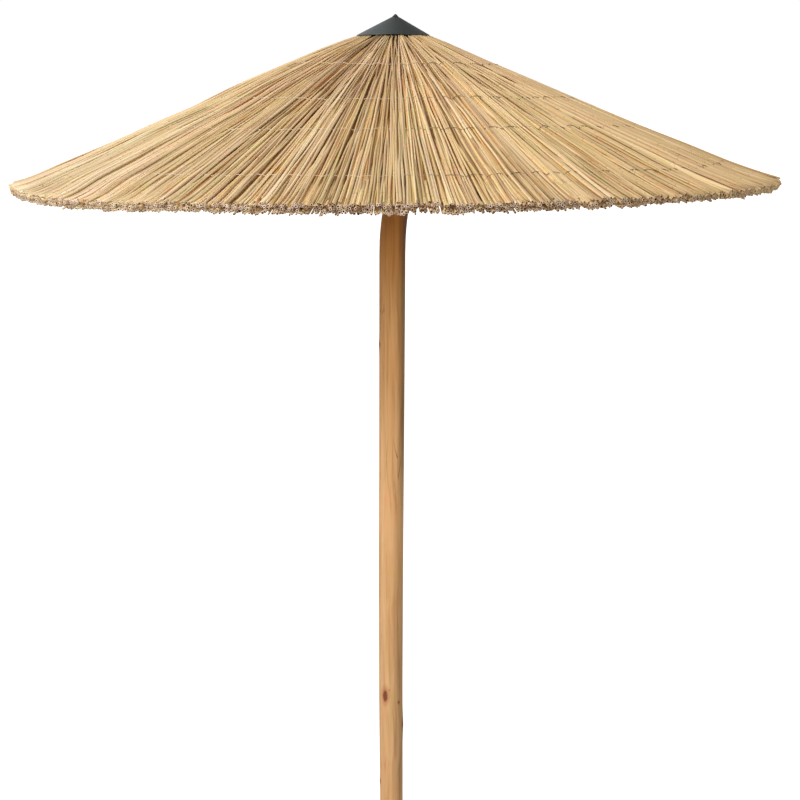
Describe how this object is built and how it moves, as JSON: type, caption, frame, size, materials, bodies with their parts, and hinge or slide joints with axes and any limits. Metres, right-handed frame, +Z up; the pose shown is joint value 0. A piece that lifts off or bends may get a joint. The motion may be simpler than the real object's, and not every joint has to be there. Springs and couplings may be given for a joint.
{
  "type": "thatched beach umbrella",
  "caption": "Round reed-thatched beach umbrella: conical canopy on wooden ribs and struts that lifts off and turns on a peeled pole, held by a wing screw, with a sheet-metal cap.",
  "frame": {"origin": "centre of the sawn foot of the pole", "axes": "+Z up the pole, +X the way the wing screw points at rest, +Y to the left of it seen from above with +X ahead"},
  "size_m": [2, 2, 2.5],
  "materials": {
    "pole_pine": "satin",
    "batten": "matte",
    "reed": "matte",
    "cap_sheet": "matte",
    "cap_hardware": "matte",
    "zinc_steel": "satin",
    "bolt_steel": "satin",
    "hoop_steel": "satin",
    "tie_wire": "satin",
    "nylon": "matte"
  },
  "bodies": {
    "pole": {"pole": "pole_pine"},
    "sleeve": {"hub_liner": "nylon"},
    "canopy": {"hub_socket": "zinc_steel", "strut_collar": "zinc_steel", "cap_stud": "zinc_steel", "cap": "cap_sheet", "cap_nut": "cap_hardware", "rib_1": "batten", "rib_2": "batten", "rib_3": "batten", "rib_4": "batten", "rib_5": "batten", "rib_6": "batten", "rib_7": "batten", "rib_8": "batten", "strut_1": "batten", "strut_2": "batten", "strut_3": "batten", "strut_4": "batten", "strut_5": "batten", "strut_6": "batten", "strut_7": "batten", "strut_8": "batten", "rib_bolt_1": "bolt_steel", "rib_bolt_2": "bolt_steel", "rib_bolt_3": "bolt_steel", "rib_bolt_4": "bolt_steel", "rib_bolt_5": "bolt_steel", "rib_bolt_6": "bolt_steel", "rib_bolt_7": "bolt_steel", "rib_bolt_8": "bolt_steel", "strut_bolt_1": "bolt_steel", "strut_bolt_2": "bolt_steel", "strut_bolt_3": "bolt_steel", "strut_bolt_4": "bolt_steel", "strut_bolt_5": "bolt_steel", "strut_bolt_6": "bolt_steel", "strut_bolt_7": "bolt_steel", "strut_bolt_8": "bolt_steel", "collar_bolt_1": "bolt_steel", "collar_bolt_2": "bolt_steel", "collar_bolt_3": "bolt_steel", "collar_bolt_4": "bolt_steel", "collar_bolt_5": "bolt_steel", "collar_bolt_6": "bolt_steel", "collar_bolt_7": "bolt_steel", "collar_bolt_8": "bolt_steel", "hoop_inner": "hoop_steel", "hoop_middle": "hoop_steel", "hoop_outer": "hoop_steel", "thatch_quarter_a": "reed", "thatch_quarter_b": "reed", "thatch_quarter_c": "reed", "thatch_quarter_d": "reed", "binding_wire_1": "tie_wire", "binding_wire_2": "tie_wire", "binding_wire_3": "tie_wire", "binding_wire_4": "tie_wire"},
    "clamp_pad": {"clamp_pad": "nylon"},
    "clamp_screw": {"wing_screw": "zinc_steel"}
  },
  "joints": [
    {"name": "canopy_lift", "type": "slide", "parent": "pole", "child": "sleeve", "axis": [0, 0, 1], "range_m": [0, 0.45]},
    {"name": "canopy_turn", "type": "hinge", "parent": "sleeve", "child": "canopy", "pos_m": [0, 0, 2.4], "axis": [0, 0, 1], "continuous": true},
    {"name": "screw_feed", "type": "slide", "parent": "canopy", "child": "clamp_pad", "axis": [1, 0, 0], "range_m": [0, 0.0055]},
    {"name": "screw_turn", "type": "hinge", "parent": "clamp_pad", "child": "clamp_screw", "pos_m": [0.06, 0, 2.007], "axis": [1, 0, 0], "range_deg": [0, 1080]}
  ],
  "couplings": [
    {"joint": "screw_feed", "follows": "screw_turn", "m_per_rad": 0.00023873}
  ]
}
